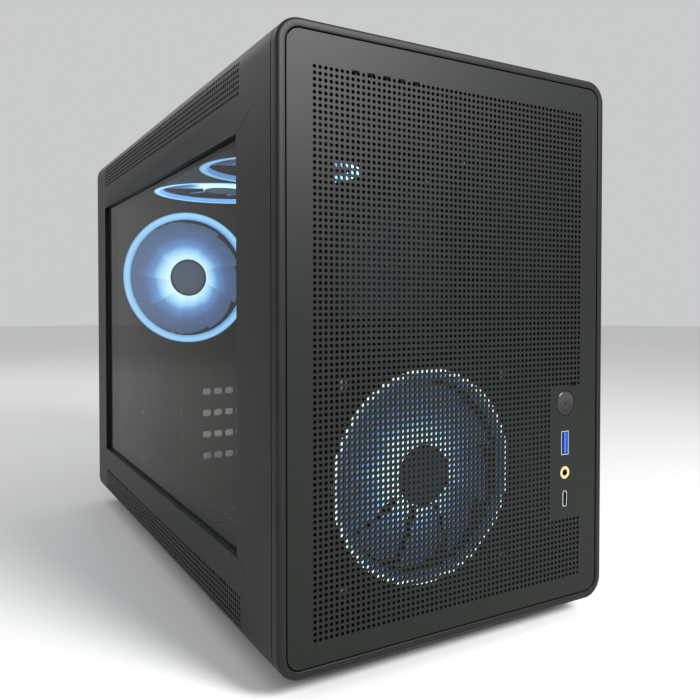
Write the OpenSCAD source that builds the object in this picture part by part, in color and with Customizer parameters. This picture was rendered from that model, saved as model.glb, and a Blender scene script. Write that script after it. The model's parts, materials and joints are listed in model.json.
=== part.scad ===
// Micro ATX computer case: pressed sheet-steel chassis with a tinted glass window, a perforated
// front plate, a perforated roof and four 120 mm fans that carry light rings.
// The case stands on its feet at z = 0, its front faces -Y and its window faces -X.

/* [Shell] */
// Width over the two side panels
shell_w = 202; // [196:1:240]
// Height of the shell, without the feet
shell_h = 291; // [288:1:340]
// Depth from the front plate to the rear edge
shell_d = 390; // [385:1:440]
// Radius of the long edges and of the front corners
edge_r = 11.5; // [10:0.5:12.5]
// Thickness of the outer sheets
skin_t = 1; // [0.8:0.1:1.2]
// Seam between two outer sheets
seam = 0.8; // [0.5:0.1:1.2]
// Width of the lip that each side panel turns over the roof and under the floor
lip_w = 13; // [13:0.5:16]

/* [Chassis] */
// Thickness of the inner sheets
sheet_t = 1; // [0.8:0.1:1.2]
// Air between the side panels' lower lips and the floor
floor_gap = 0.4; // [0.3:0.1:1]
// Air between the roof panel and the roof frame, for the heads of the fan screws
roof_gap = 2.4; // [2.2:0.1:3]
// Air between the side walls of the chassis and the side panels
side_gap = 3; // [2:0.1:3.4]
// Depth of the front wall behind the front plate
front_wall_y = 28.8; // [28:0.2:34]
// Recess of the rear wall inside the rear edge
rear_recess = 15; // [15:0.5:20]
// Room for cables between the motherboard tray and the right side
tray_side = 17; // [16:0.5:22]
// Length of the tray in front of the motherboard
tray_lead = 13; // [13:0.5:24]

/* [Front] */
// Depth of the front ring
ring_d = 6; // [5.6:0.2:7]
// Width of the band that shows around the front plate
band_w = 4.2; // [3.6:0.1:5]
// Gap between band and plate
plate_gap = 0.7; // [0.5:0.1:1]
// Setback of the plate behind the ring
plate_set = 0.4; // [0.2:0.1:0.8]
// Thickness of the perforated front plate
plate_t = 1.2; // [1:0.1:1.6]
// Rounding of the ring's front edge
band_round = 1.6; // [1:0.1:2]
// Pitch of the air holes in plate, roof and floor
hole_pitch = 11.2; // [11:0.1:14]
// Size of an air hole in plate, roof and floor, across its corners
hole_d = 7.4; // [5:0.1:8]
// Plain edge left and right of the front plate's holes, from the shell's side
field_side = 18.4; // [16:0.1:30]
// Plain edge above the front plate's holes, from the shell's top
field_top = 19.9; // [18:0.1:30]
// Plain edge below the front plate's holes, from the shell's bottom
field_bottom = 16.2; // [15:0.1:30]

/* [Window and side vents] */
// Steel left in front of the window
window_front = 47.5; // [44:0.5:60]
// Steel left behind the window
window_rear = 31; // [28:0.5:50]
// Steel left above and below the window
window_margin = 41.7; // [38:0.1:60]
// Depth of the folded edge around the window
window_fold = 2.6; // [2:0.1:3]
// Thickness of the glass
glass_t = 3; // [3:0.5:4]
// Overlap of the glass behind the steel
glass_lap = 6; // [5:0.5:7]
// Distance from the shell's edge to the first row of a side vent
vent_edge = 12.5; // [12:0.1:14]
// Rows of holes in a side vent
vent_rows = 2; // [1:1:3]
// Pitch of the holes in side vents and rear grille
vent_pitch = 8.4; // [8:0.1:10]
// Size of a hole in side vents and rear grille, across its corners
vent_d = 5.6; // [4:0.1:6]
// Depth at which the side vents start
vent_y = 46; // [44:0.5:52]

/* [Fans] */
// Side of a fan frame
fan_w = 120; // [119.6:0.1:120.4]
// Thickness of a fan
fan_t = 25; // [24:0.5:27]
// Distance of a fan's screw holes from the sides of its frame
fan_screw_in = 7.5; // [7.4:0.05:7.6]
// Radius of a fan's screw holes
fan_hole_r = 2.15; // [2:0.05:2.4]
// Plastic between the air passage and the sides of the frame
fan_rim = 8; // [7:0.5:10]
// Gap between blade tips and air passage
tip_gap = 1.6; // [1:0.1:3]
// Plastic between the light ring and the sides of the frame
light_rim = 2; // [1.5:0.1:4]
// Thickness of the light ring
light_t = 3.5; // [3:0.1:4]
// Radius of a rotor's hub
hub_r = 17; // [16:0.5:19]
// Number of blades
blades = 9; // [7:1:11]
// Pitch angle of a blade
blade_angle = 38; // [30:1:42]
// Radius of a rotor's shaft
shaft_r = 1.5; // [1.2:0.1:2]
// Room between the rear fan and the cut-out for the motherboard's connectors
rear_fan_gap = 5.4; // [3:0.1:9]
// Room between the rear fan and the roof fans
rear_fan_drop = 11; // [6:0.5:20]
// Room between floor and front fan
front_fan_gap = 11.6; // [6:0.1:20]
// Room between the roof fans and the motherboard tray
roof_fan_side = 35; // [30:0.5:38]
// Room between the roof fans and the rear wall
roof_fan_gap = 2; // [1:0.5:10]

/* [Front controls] */
// Distance from the right side to the column of controls
port_side = 28.4; // [27:0.1:34]
// Height of the power button above the shell's bottom
button_z = 112; // [110:0.5:116]
// Height of the large USB socket
usb_a_z = 89.9; // [88:0.1:92]
// Height of the audio jack
audio_z = 73.5; // [72:0.1:75]
// Height of the small USB socket
usb_c_z = 59; // [57:0.1:61]
// Diameter of the power button
button_d = 13.2; // [12:0.1:14]
// Travel of the power button
button_travel = 1.5; // [1:0.1:2]
// Running gap round the button
button_gap = 0.25; // [0.2:0.05:0.4]
// Radius of the plug hole in the audio jack
audio_r = 1.8; // [1.78:0.01:1.9]

/* [Rear] */
// Distance between two expansion slots
slot_pitch = 20.32; // [20.3:0.01:20.4]
// Number of expansion slots
slots = 4; // [2:1:4]
// Height of the lowest slot above the shell's bottom
slot_z = 23; // [20:0.5:25]
// Length of a slot opening
slot_len = 108; // [104:0.5:110]
// Height of one slot opening
slot_h = 12.7; // [12:0.1:13]
// Width of the cut-out for the motherboard's connectors
io_w = 44.45; // [44.4:0.05:44.6]
// Height of the cut-out for the motherboard's connectors
io_h = 158.75; // [158.7:0.05:158.9]

/* [Power supply bracket] */
// Distance between the bracket's screw holes, left to right
psu_screw_x = 113; // [112.8:0.1:113.2]
// Distance between the bracket's screw holes, front to rear
psu_screw_y = 51.5; // [51.3:0.1:51.7]
// Distance from the bracket's shelf to the shell's top
psu_drop = 33; // [30:0.5:40]

/* [Feet] */
// Height of the shell above the ground
foot_h = 10; // [9:0.5:16]
// Radius of a foot
foot_r = 14; // [12:0.5:16]
// Distance of a foot from the side of the shell
foot_in = 34; // [32:0.5:42]
// Distance of a foot from the front and the rear
foot_end = 46; // [42:0.5:54]

/* [Hidden] */
$fn = 48;

steel = [0.13, 0.14, 0.135];
dark_steel = [0.09, 0.095, 0.09];
plastic = [0.06, 0.06, 0.065];
zinc = [0.62, 0.63, 0.64];
brass = [0.72, 0.56, 0.25];
ice = [0.55, 0.82, 1];
blade_tint = [0.42, 0.47, 0.7, 0.7];
rubber = [0.05, 0.05, 0.05];
board_green = [0.05, 0.13, 0.09];
copper = [0.65, 0.33, 0.18];
socket_blue = [0.1, 0.25, 0.75];

// Clearances
cut = 1;
fit = 0.2;
screw_fit = 0.1;
run_gap = 0.05;
ball_gap = 0.3;
port_gap = 0.3;

// Shell and chassis; heights without a note are measured from the shell's bottom
half_w = shell_w / 2;
front_y = -shell_d / 2;
z0 = foot_h;
panel_y = ring_d + seam;
floor_z = skin_t + floor_gap;
floor_top = floor_z + sheet_t;
roof_top = shell_h - skin_t - roof_gap;
roof_z = roof_top - sheet_t;
rear_y = shell_d - rear_recess;
wall_x = half_w - skin_t - side_gap;
wall_r = edge_r - skin_t - side_gap;
deck_x = half_w - edge_r;
lit_y = front_wall_y + sheet_t;
tray_x = half_w - tray_side;
big = 2 * (shell_w + shell_h + shell_d);

// Front ring, plate and their studs
ring_in = band_w + plate_gap;
ledge_w = 9;
ledge_t = 1.4;
plate_back = plate_set + plate_t;
plate_ball_r = 2.2;
plate_stud_x = half_w - ring_in - 4;
plate_stud_z = [24, shell_h / 2, shell_h - 24];
field_w = shell_w - 2 * field_side;
field_h = shell_h - field_top - field_bottom;
field_z = field_bottom + field_h / 2;

// Ball studs of the side panels and of the roof
stud_r = 2;
stud_foot_r = 3.2;
ball_r = 3;
clip_r = 5.4;
clip_collar = 0.8;
clip_len = 9;
side_stud_z = [30, shell_h - 30];
side_stud_front = front_wall_y - 11.8;
side_stud_rear = rear_y + 7;
side_stud_len = side_gap + 7;
roof_stud_x = tray_x - 6;
roof_stud_y = [18, rear_y - sheet_t - 6];
roof_stud_len = roof_gap + 7;

// Fans: z = 0 is the lit face
fan_screw = fan_w - 2 * fan_screw_in;
fan_bore_r = fan_w / 2 - fan_rim;
light_r = fan_w / 2 - light_rim;
grille_r = fan_w / 2 - 4;
floor_grille_r = fan_w / 2 - 6;
flange_front = light_t + 1.5;
flange_back = 4;
barrel_t = 2.5;
strut_t = 3;
strut_w = 5;
hub_top = 3;
hub_gap = 1;
hub_depth = fan_t - strut_t - hub_gap - hub_top;
hub_wall = 1.5;
axle_tube_r = 4;
rotor_r = fan_bore_r - tip_gap;
blade_t = 1.6;
blade_camber = 42;
blade_h = 16;

// Places of the fans
io_side = 4.1;
io_x = tray_x - io_side - io_w;
rear_fan_x = io_x - rear_fan_gap - fan_w / 2;
rear_fan_z = roof_z - fan_t - rear_fan_drop - fan_w / 2;
front_fan_z = floor_top + front_fan_gap + fan_w / 2;
roof_fan_x = tray_x - roof_fan_side - fan_w / 2;
roof_fan_y = rear_y - sheet_t - roof_fan_gap - fan_w / 2;
floor_fan_y = shell_d / 2 + 8;

// Screws
screw_r = 1.7;
head_r = 3.5;
head_h = 1.7;

// Rear wall and motherboard
slot_x = tray_x - 3 - slot_len - sheet_t;
slot_top = slot_z + (slots - 0.5) * slot_pitch;
cover_h = slot_pitch - 1.9;
tab_len = 11;
io_z = slot_z + (slots - 1) * slot_pitch + 17.5;
standoff_h = 6.35;
board_depth = 244;
board_rear = 10.2;
board_top = io_z + io_h - 4.2;
board_cols = [0, 154.94, 227.33];
board_rows = [0, 157.48, 203.2];
tray_y = rear_y - sheet_t - board_depth - tray_lead;
tray_fold = 9;
cable_z = (floor_top + roof_z) / 2;
cable_pitch = 80;
inlet = [22.5, 50];
inlet_body = [19.8, 27];
inlet_x = -half_w + 35;
inlet_z = floor_top + 20.6 + inlet[1] / 2;
inlet_screw = 20;

// Power supply bracket
bracket_t = 1.2;
psu_w = 125;
psu_d = 63.5;
psu_z = shell_h - psu_drop;
psu_y = lit_y + 5 + psu_d / 2;
bracket_x = psu_w / 2 + 5;
bracket_y = psu_y + psu_d / 2 + 2;
bracket_flange = 16;
psu_air = [psu_w - 9, 88];
psu_air_drop = psu_air[1] / 2 + 10;
psu_screws = [-1, -0.36, 0.36, 1] * (psu_w / 2 - 7.5);

// Front controls
port_x = half_w - port_side;
usb_a = [5.7, 13.1];
usb_c = [3.3, 9];
audio_collar_r = 3.45;
port_wall = 0.4;
port_out = plate_set + fit;
board_side = usb_a[0] / 2;
housing_y = plate_back + 0.8;
housing_t = 2;
housing_w = 22;
housing_z = [usb_c_z - 11, button_z + 10];
button_top = plate_set - fit;
button_rim = 1.2;
button_rim_y = housing_y + housing_t + fit;
button_len = button_rim_y - button_top + 1.4;
switch_y = button_rim_y + 1.4 + button_travel + 2;

// A place at a depth y behind the front and a height z above the shell's bottom
module at(x = 0, y = 0, z = 0) translate([x, front_y + y, z0 + z]) children();

// A box from its two opposite corners
module block(a, b) translate(a) cube(b - a);

// A rectangle with round corners, centred
module round_rect(w, h, r) {
    square([w - 2 * r, h], center = true);
    square([w, h - 2 * r], center = true);
    for (x = [-1, 1], y = [-1, 1]) translate([x * (w / 2 - r), y * (h / 2 - r)]) circle(r);
}

// Turns a drawing upright: its Y becomes the height and its thickness runs to the rear
module upright() rotate([90, 0, 0]) mirror([0, 0, 1]) children();

// Turns a part that was drawn facing up to face the front, the rear or the left
module facing_front() rotate([90, 0, 0]) children();
module facing_rear() rotate([-90, 0, 0]) children();
module facing_left() rotate([0, -90, 0]) children();

// Four copies at the corners of a rectangle
module corners(w, h) for (x = [-1, 1], y = [-1, 1]) translate([x * w / 2, y * h / 2]) children();

// A straight hole through z = 0
module hole(r) cylinder(r = r, h = 2 * (sheet_t + 3), center = true);

// One six-sided air hole through z = 0
module air_hole(d) cylinder(d = d, h = 8, center = true, $fn = 6);

// A field of air holes, centred on z = 0, that leaves a corner of it plain
module air_field(w, h, keep_x = big, keep_low = 0, keep_high = 0) {
    nx = floor(w / hole_pitch);
    ny = floor(h / hole_pitch);
    for (i = [0:nx], j = [0:ny]) {
        x = (i - nx / 2) * hole_pitch;
        y = (j - ny / 2) * hole_pitch;
        if (x < keep_x || y < keep_low || y > keep_high) translate([x, y]) air_hole(hole_d);
    }
}

// A round field of air holes through z = 0
module round_field(r, pitch, d) {
    n = floor(r / pitch);
    for (i = [-n:n], j = [-n:n])
        if (norm([i, j]) * pitch < r - d / 2) translate([i * pitch, j * pitch]) air_hole(d);
}

// A screw with its head on z = 0 and its shank pointing down
module screw(shank) {
    cylinder(r = head_r, h = head_h);
    translate([0, 0, -shank]) cylinder(r = screw_r, h = shank + 0.1);
}

// A ball stud that stands on z = 0
module stud(length, ball) {
    cylinder(r = stud_foot_r, h = 1);
    cylinder(r = min(stud_r, ball - 0.6), h = length - ball);
    translate([0, 0, length - ball]) intersection() {
        sphere(ball);
        translate([0, 0, -ball]) cylinder(r = ball + 1, h = 2 * ball - 0.4);
    }
}

// A socket for a ball stud: its collar lies on z = 0 and its sleeve points down
module clip() difference() {
    union() {
        cylinder(r = clip_r + 1.4, h = clip_collar);
        translate([0, 0, -clip_len]) cylinder(r = clip_r - fit, h = clip_len + 0.1);
    }
    cylinder(r = ball_r + ball_gap, h = 3 * clip_len, center = true);
}

// CHASSIS

module floor_pan() color(dark_steel) difference() {
    at() block([-deck_x, panel_y - seam / 2, floor_z], [deck_x, shell_d - 1, floor_top]);
    floor_fans() {
        round_field(floor_grille_r, hole_pitch, hole_d);
        corners(fan_screw, fan_screw) hole(fan_hole_r);
    }
    feet_places() translate([0, 0, z0 + floor_z]) hole(screw_r + screw_fit);
}

module floor_fans() for (s = [-1, 1])
    at(roof_fan_x, floor_fan_y + s * fan_w / 2, floor_z) children();

module roof_frame() color(dark_steel) difference() {
    at() block([-deck_x, panel_y - seam / 2, roof_z], [deck_x, rear_y + sheet_t, roof_top]);
    roof_fans() {
        cylinder(r = light_r, h = 8, center = true);
        corners(fan_screw, fan_screw) hole(screw_r + screw_fit);
    }
    roof_stud_places() hole(clip_r);
}

// A block as wide and high as the chassis inside the panels, less a margin, between two depths
module wall_block(margin, front, rear) at(0, front, (floor_top + roof_z) / 2) upright()
    linear_extrude(rear - front)
        round_rect(2 * (wall_x - margin), roof_z - floor_top - 2 * margin, wall_r - margin);

// Front wall: a pan that opens to the front, with the fan below and the power supply's air above
module front_wall() color(dark_steel) difference() {
    wall_block(0, ring_d, lit_y);
    wall_block(sheet_t, ring_d - cut, front_wall_y);
    at(0, lit_y, front_fan_z) upright() {
        hole(light_r + 0.8);
        corners(fan_screw, fan_screw) hole(screw_r + screw_fit);
    }
    at(0, lit_y - 2, psu_z - psu_air_drop) upright() linear_extrude(4)
        round_rect(psu_air[0], psu_air[1], 6);
    at(port_x, lit_y - 2, (housing_z[0] + housing_z[1]) / 2) upright()
        linear_extrude(4) round_rect(14, 40, 3);
    psu_screw_places() facing_front() hole(screw_r + screw_fit);
    side_stud_places(side_stud_front) hole(clip_r);
    roof_stud_places() hole(clip_r);
}

// Rear wall: a pan that opens to the rear, with the flange that the expansion cards are screwed to
module rear_wall() color(dark_steel) difference() {
    union() {
        difference() {
            wall_block(0, rear_y - sheet_t, shell_d - 1);
            wall_block(sheet_t, rear_y, shell_d);
        }
        at() block([slot_x, rear_y - sheet_t, slot_z - slot_pitch / 2],
            [slot_x + sheet_t, rear_y + tab_len, slot_top]);
    }
    at(0, rear_y, 0) {
        for (i = [0:slots - 1]) translate([0, 0, slot_z + i * slot_pitch]) {
            block([slot_x + sheet_t, -3, -slot_h / 2], [tray_x - 3, 1, slot_h / 2]);
            block([slot_x - 3, -3, -slot_h / 2], [slot_x, 1, slot_h / 2]);
            translate([slot_x, tab_len / 2, 0]) facing_left() hole(screw_r + screw_fit);
        }
        block([io_x, -3, io_z], [io_x + io_w, 1, io_z + io_h]);
    }
    at(rear_fan_x, rear_y, rear_fan_z) upright() {
        round_field(grille_r, vent_pitch, vent_d);
        corners(fan_screw, fan_screw) hole(screw_r + screw_fit);
    }
    at(inlet_x, rear_y, inlet_z) upright() {
        translate([0, 0, -3]) linear_extrude(6) square(inlet_body + 2 * [fit, fit], center = true);
        for (s = [-1, 1]) translate([0, s * inlet_screw]) hole(screw_r + screw_fit);
    }
    side_stud_places(side_stud_rear) hole(clip_r);
}

module motherboard_tray() color(dark_steel) at() difference() {
    union() {
        block([tray_x, tray_y, floor_top], [tray_x + sheet_t, rear_y - sheet_t, roof_z]);
        block([tray_x, tray_y, floor_top], [tray_x + tray_fold, tray_y + sheet_t, roof_z]);
    }
    // Opening behind the processor, and cable openings in front of the motherboard
    translate([tray_x - 1, rear_y - 95, board_top - 59]) rotate([90, 0, 90]) linear_extrude(4)
        round_rect(110, 94, 6);
    for (k = [-1:1]) translate([tray_x - 1, tray_y + tray_lead - 5.5, cable_z + k * cable_pitch])
        rotate([90, 0, 90]) linear_extrude(4) round_rect(9, 52, 4);
    board_places() translate([0, 0, -3]) cylinder(r = screw_r + screw_fit, h = 6);
}

module board_places() for (c = board_cols, r = board_rows)
    translate([tray_x, rear_y - sheet_t - board_rear - c, board_top - r]) facing_left() children();

module standoffs() color(brass) at() board_places() difference() {
    union() {
        cylinder(r = 2.9, h = standoff_h, $fn = 6);
        translate([0, 0, -sheet_t - 1.5]) cylinder(r = screw_r, h = sheet_t + 2);
    }
    translate([0, 0, 1]) cylinder(r = 1.5, h = standoff_h);
}

// FRONT RING

module front_ring() color(steel) at(0, 0, shell_h / 2) upright() difference() {
    ring_body();
    translate([0, 0, -cut]) linear_extrude(ring_d - ledge_t + cut)
        round_rect(shell_w - 2 * band_w, shell_h - 2 * band_w, edge_r - band_w);
    linear_extrude(3 * ring_d, center = true)
        round_rect(shell_w - 2 * (band_w + ledge_w), shell_h - 2 * (band_w + ledge_w), 3);
    plate_stud_places() cylinder(r = plate_ball_r + ball_gap, h = 3 * ring_d, center = true);
}

// The ring's block, with its front edge turned over a quarter round in four steps
module ring_body() for (i = [0:4]) {
    side = band_round * (1 - sin(i * 22.5));
    depth = band_round * (1 - cos(i * 22.5));
    translate([0, 0, depth]) linear_extrude(ring_d - depth)
        round_rect(shell_w - 2 * side, shell_h - 2 * side, edge_r - side);
}

// REAR SLOTS AND INLET

module slot_covers() color(dark_steel) for (i = [0:slots - 1]) at(0, rear_y, slot_z + i * slot_pitch)
    difference() {
        union() {
            block([slot_x - sheet_t, -2 * sheet_t, -cover_h / 2], [tray_x - 1, -sheet_t, cover_h / 2]);
            block([slot_x - sheet_t, -2 * sheet_t, -slot_h / 2 + fit],
                [slot_x, tab_len - 0.5, slot_h / 2 - fit]);
        }
        for (k = [0:6]) translate([slot_x + 22 + k * 11, 0]) rotate([90, 0, 0])
            linear_extrude(8, center = true) round_rect(8, 6, 2);
        translate([slot_x, tab_len / 2]) facing_left() hole(screw_r + screw_fit);
    }

module slot_screws() color(zinc) for (i = [0:slots - 1])
    at(slot_x - sheet_t, rear_y + tab_len / 2, slot_z + i * slot_pitch) facing_left() screw(5);

module power_inlet() color(plastic) at(inlet_x, rear_y, inlet_z) upright() {
    difference() {
        union() {
            linear_extrude(2.4) round_rect(inlet[0], inlet[1], 4);
            translate([0, 0, -20]) linear_extrude(21) square(inlet_body, center = true);
        }
        translate([0, 0, -14]) linear_extrude(20) round_rect(16, 24, 2);
        for (s = [-1, 1]) translate([0, s * inlet_screw]) hole(screw_r + screw_fit);
    }
    // Three contact blades
    for (p = [[0, 5], [-3.5, -5], [3.5, -5]])
        translate([p[0], p[1], -15]) linear_extrude(14) square([1.2, 3.6], center = true);
}

module inlet_screws() color(zinc) for (s = [-1, 1])
    at(inlet_x, rear_y + 2.4, inlet_z + s * inlet_screw) facing_rear() screw(5);

// POWER SUPPLY BRACKET

// Shelf with a flange against the front wall and two stiffening edges; the supply hangs under it
module psu_bracket() color(dark_steel) difference() {
    at() union() {
        block([-bracket_x, lit_y, psu_z], [bracket_x, bracket_y, psu_z + bracket_t]);
        block([-bracket_x, lit_y, psu_z], [bracket_x, lit_y + bracket_t, psu_z + bracket_flange]);
        for (s = [-1, 1]) translate([s * (bracket_x - bracket_t / 2), 0, 0])
            block([-bracket_t / 2, lit_y, psu_z], [bracket_t / 2, bracket_y, psu_z + 9]);
    }
    at(0, psu_y, psu_z) {
        linear_extrude(8, center = true) round_rect(96, 40, 3);
        corners(psu_screw_x, psu_screw_y) hole(1.9);
    }
    psu_screw_places() facing_front() hole(screw_r + screw_fit);
}

module psu_screw_places() for (x = psu_screws)
    at(x, lit_y, psu_z + bracket_flange - 6) children();

module psu_bracket_screws() color(zinc)
    psu_screw_places() translate([0, bracket_t]) facing_rear() screw(4);

// FRONT CONTROLS

// Openings for the button and the three sockets, through the depth y
module port_holes(y, gap) {
    at(port_x, y - 3, button_z) upright() cylinder(d = button_d + 2 * button_gap, h = 6);
    at(port_x, y - 3, usb_a_z) upright() linear_extrude(6) square(usb_a + 2 * [gap, gap], center = true);
    at(port_x, y - 3, audio_z) upright() cylinder(r = audio_collar_r + gap, h = 6);
    at(port_x, y - 3, usb_c_z) upright() linear_extrude(6)
        round_rect(usb_c[0] + 2 * gap, usb_c[1] + 2 * gap, usb_c[0] / 2);
}

module io_housing() color(plastic) difference() {
    at(port_x) difference() {
        block([-housing_w / 2, housing_y, housing_z[0]], [housing_w / 2, front_wall_y, housing_z[1]]);
        block([-housing_w / 2 + housing_t, housing_y + housing_t, housing_z[0] + housing_t],
            [housing_w / 2 - housing_t, front_wall_y + 1, housing_z[1] - housing_t]);
    }
    port_holes(housing_y + housing_t / 2, 0.1);
}

// Circuit board beside the sockets, cut away round the button's rim
module io_board() color(board_green) at(port_x) difference() {
    block([board_side, housing_y + housing_t + 0.4, housing_z[0] + housing_t + fit],
        [board_side + 1.6, front_wall_y - 2, housing_z[1] - housing_t - fit]);
    translate([board_side - 1, 0, button_z - button_d / 2 - 1.4]) cube([4, switch_y - 1, button_d + 2.8]);
}

module button_switch() color(plastic) at(port_x, switch_y, button_z) {
    block([-3, 0, -3], [board_side, 4, 3]);
    facing_front() cylinder(r = 1.6, h = 1);
}

module usb_a_shell() color(zinc) at(port_x, port_out, usb_a_z) upright() difference() {
    linear_extrude(16) square(usb_a, center = true);
    translate([0, 0, -cut]) linear_extrude(15 + cut)
        square(usb_a - 2 * [port_wall, port_wall], center = true);
}

module usb_a_tongue() color(socket_blue) at(port_x, port_out + 1, usb_a_z) upright()
    translate([1.3, 0]) linear_extrude(14) square([2, 11.6], center = true);

module audio_jack() color(brass) at(port_x, port_out, audio_z) upright() difference() {
    union() {
        cylinder(r = audio_collar_r, h = housing_y + housing_t + fit - port_out);
        translate([-board_side, -3, housing_y + housing_t + fit - port_out])
            cube([2 * board_side, 6, 11]);
    }
    translate([0, 0, -cut]) cylinder(r = audio_r, h = 13 + cut);
}

module usb_c_shell() color(zinc) at(port_x, port_out, usb_c_z) upright() difference() {
    union() {
        linear_extrude(10) round_rect(usb_c[0], usb_c[1], 1.6);
        translate([0, -usb_c[1] / 2, housing_y + housing_t + fit - port_out])
            cube([board_side, usb_c[1], 5]);
    }
    translate([0, 0, -cut]) linear_extrude(9 + cut)
        round_rect(usb_c[0] - 2 * port_wall, usb_c[1] - 2 * port_wall, 1.6 - port_wall);
}

module usb_c_tongue() color(plastic) at(port_x, port_out + 0.8, usb_c_z) upright()
    linear_extrude(8.2) square([0.7, 6.7], center = true);

// Button with a rim that stops behind the housing and a stem that reaches the switch
module power_button() color(steel) at(port_x, button_top, button_z) upright() difference() {
    union() {
        cylinder(d = button_d, h = button_len);
        translate([0, 0, button_rim_y - button_top]) cylinder(d = button_d + 2 * button_rim, h = 1.4);
        cylinder(d = 4, h = switch_y - 1 - button_travel - 0.1 - button_top);
    }
    translate([0, 0, -cut]) cylinder(r = 0.7, h = cut + 0.6);
}

// FANS, drawn with the lit face up at z = 0

module fan_frame() color(plastic) difference() {
    union() {
        for (z = [[-flange_front, flange_front], [-fan_t, flange_back]])
            translate([0, 0, z[0]]) linear_extrude(z[1]) round_rect(fan_w - 0.4, fan_w - 0.4, 5);
        translate([0, 0, -fan_t]) cylinder(r = fan_bore_r + barrel_t, h = fan_t, $fn = 96);
    }
    difference() {
        translate([0, 0, -fan_t - cut]) cylinder(r = fan_bore_r, h = fan_t + 2 * cut, $fn = 96);
        for (a = [45:90:315]) rotate(a) translate([0, -strut_w / 2, -fan_t])
            cube([fan_bore_r + 1, strut_w, strut_t]);
        translate([0, 0, -fan_t]) cylinder(r = hub_r - 0.5, h = strut_t);
        translate([0, 0, -fan_t]) cylinder(r = axle_tube_r, h = fan_t - hub_top - hub_wall - hub_gap);
    }
    translate([0, 0, -light_t]) cylinder(r = light_r + 0.1, h = light_t + cut, $fn = 96);
    translate([0, 0, -fan_t + 1]) cylinder(r = shaft_r + run_gap, h = fan_t);
    corners(fan_screw, fan_screw) translate([0, 0, -fan_t - cut])
        cylinder(r = fan_hole_r, h = fan_t + 2 * cut);
}

module fan_light() color(ice) translate([0, 0, -light_t]) difference() {
    cylinder(r = light_r, h = light_t - fit, $fn = 96);
    translate([0, 0, -cut]) cylinder(r = fan_bore_r, h = light_t + 2 * cut, $fn = 96);
}

// Nine wound poles round the axle tube, under the hub
module fan_stator() color(copper) translate([0, 0, -fan_t + strut_t]) difference() {
    union() {
        cylinder(r = 6.5, h = 10);
        for (a = [0:40:320]) rotate(a) translate([0, -1.6, 2]) cube([hub_r - hub_wall - 1, 3.2, 7]);
    }
    translate([0, 0, -cut]) cylinder(r = axle_tube_r + fit, h = 12);
}

module fan_rotor() color(blade_tint) {
    difference() {
        translate([0, 0, -hub_top - hub_depth]) cylinder(r = hub_r, h = hub_depth);
        translate([0, 0, -hub_top - hub_depth - cut])
            cylinder(r = hub_r - hub_wall, h = hub_depth + cut - hub_wall);
    }
    translate([0, 0, -fan_t + 1.2]) cylinder(r = shaft_r, h = fan_t - hub_top - 1.5);
    for (i = [0:blades - 1]) rotate(i * 360 / blades) blade();
}

// One cambered blade: a slice of a tube that lies along the radius, inside a swept outline
module blade() {
    top = -hub_top - 1;
    intersection() {
        translate([0, 0, top - blade_h]) linear_extrude(blade_h) blade_outline();
        translate([0, 0, top - blade_h / 2]) rotate([-blade_angle, 0, 0])
            translate([0, 0, -blade_camber]) rotate([0, 90, 0]) difference() {
                cylinder(r = blade_camber + blade_t / 2, h = rotor_r + 2);
                translate([0, 0, -1]) cylinder(r = blade_camber - blade_t / 2, h = rotor_r + 4);
            }
    }
}

// A blade seen from the lit side, with swept edges between hub and tip
module blade_outline() intersection() {
    difference() {
        circle(rotor_r, $fn = 96);
        circle(hub_r - 0.8);
    }
    difference() {
        translate([28, -30]) circle(46);
        translate([26, -54]) circle(46);
    }
}

module at_front_fan() at(0, lit_y, front_fan_z) facing_front() children();
module at_rear_fan() at(rear_fan_x, rear_y - sheet_t - fan_t, rear_fan_z) facing_front() children();
module at_roof_fan(k) at(roof_fan_x, roof_fan_y - k * fan_w, roof_z - fan_t)
    rotate([180, 0, 0]) children();
module roof_fans() for (k = [0, 1]) at(roof_fan_x, roof_fan_y - k * fan_w, roof_z) children();

module front_fan_frame() at_front_fan() fan_frame();
module rear_fan_frame() at_rear_fan() fan_frame();
module roof_fan_frame_front() at_roof_fan(1) fan_frame();
module roof_fan_frame_rear() at_roof_fan(0) fan_frame();
module front_fan_light() at_front_fan() fan_light();
module rear_fan_light() at_rear_fan() fan_light();
module roof_fan_light_front() at_roof_fan(1) fan_light();
module roof_fan_light_rear() at_roof_fan(0) fan_light();
module front_fan_rotor() at_front_fan() fan_rotor();
module rear_fan_rotor() at_rear_fan() fan_rotor();
module roof_fan_rotor_front() at_roof_fan(1) fan_rotor();
module roof_fan_rotor_rear() at_roof_fan(0) fan_rotor();

module fan_stators() {
    at_front_fan() fan_stator();
    at_rear_fan() fan_stator();
    for (k = [0, 1]) at_roof_fan(k) fan_stator();
}

module fan_screws() color(zinc) {
    roof_fans() translate([0, 0, sheet_t]) corners(fan_screw, fan_screw) screw(6);
    at(0, front_wall_y, front_fan_z) facing_front() corners(fan_screw, fan_screw) screw(6);
    at(rear_fan_x, rear_y, rear_fan_z) facing_rear() corners(fan_screw, fan_screw) screw(6);
}

// FEET

module feet_places() for (x = [-1, 1], y = [foot_end, shell_d - foot_end])
    translate([x * (half_w - foot_in), front_y + y]) children();

module feet() color(plastic) feet_places() difference() {
    translate([0, 0, 1.6]) cylinder(r1 = foot_r - 2, r2 = foot_r, h = z0 + floor_z - 1.6);
    cylinder(r = foot_r - 4, h = 3);
    cylinder(r = screw_r + screw_fit, h = 3 * foot_h);
}

module foot_pads() color(rubber) feet_places() cylinder(r = foot_r - 4 - fit, h = 3 - fit);

module foot_screws() color(zinc) feet_places() translate([0, 0, z0 + floor_top]) screw(foot_h - 3);

// SIDE PANELS

// Section of a side panel, from its outer face inwards, with the round edges and the lips
module side_section() difference() {
    intersection() {
        side_outline(0);
        square([lip_w, shell_h]);
    }
    side_outline(skin_t);
}

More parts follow.
